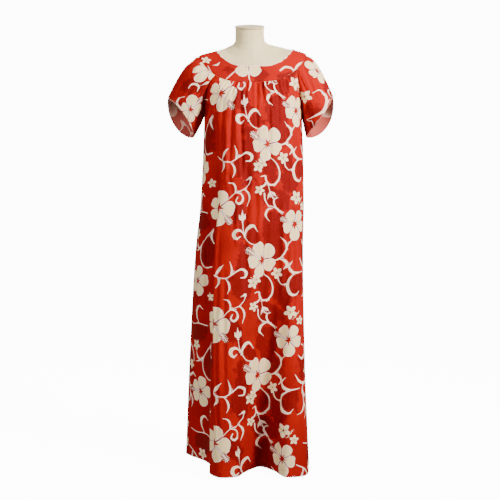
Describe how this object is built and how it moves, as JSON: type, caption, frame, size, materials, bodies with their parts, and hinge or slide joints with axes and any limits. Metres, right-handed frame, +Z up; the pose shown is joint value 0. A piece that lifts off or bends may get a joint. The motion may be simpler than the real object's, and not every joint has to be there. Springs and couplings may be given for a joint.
{
  "type": "hawaiian maxi dress on a dress form",
  "caption": "Long loose dress with a scoop-necked yoke, gathered front and back panels and petal sleeves, worn on a limbless dress form with a pole stand.",
  "frame": {"origin": "on the floor, at the middle of the stand's foot, under the hub", "axes": "+Z up along the pole, -Y to the dress's front, +X to the wearer's left"},
  "size_m": [0.5893, 0.3992, 1.5521],
  "materials": {
    "printed_cotton": "red plain-weave cotton printed with cream flowers and vines, soft matt sheen, paler on the reverse",
    "form_linen": "cream linen cover, matt",
    "cap_linen": "cream linen-covered neck cap, matt",
    "stand_metal": "dark satin paint"
  },
  "bodies": {
    "root": {"form_torso": "form_linen", "form_neck_cap": "cap_linen", "stand_pole": "stand_metal", "stand_base": "stand_metal", "yoke_front": "printed_cotton", "yoke_back": "printed_cotton", "panel_front": "printed_cotton", "panel_back": "printed_cotton", "sleeve_left_front": "printed_cotton", "sleeve_left_back": "printed_cotton", "sleeve_right_front": "printed_cotton", "sleeve_right_back": "printed_cotton"}
  },
  "joints": []
}
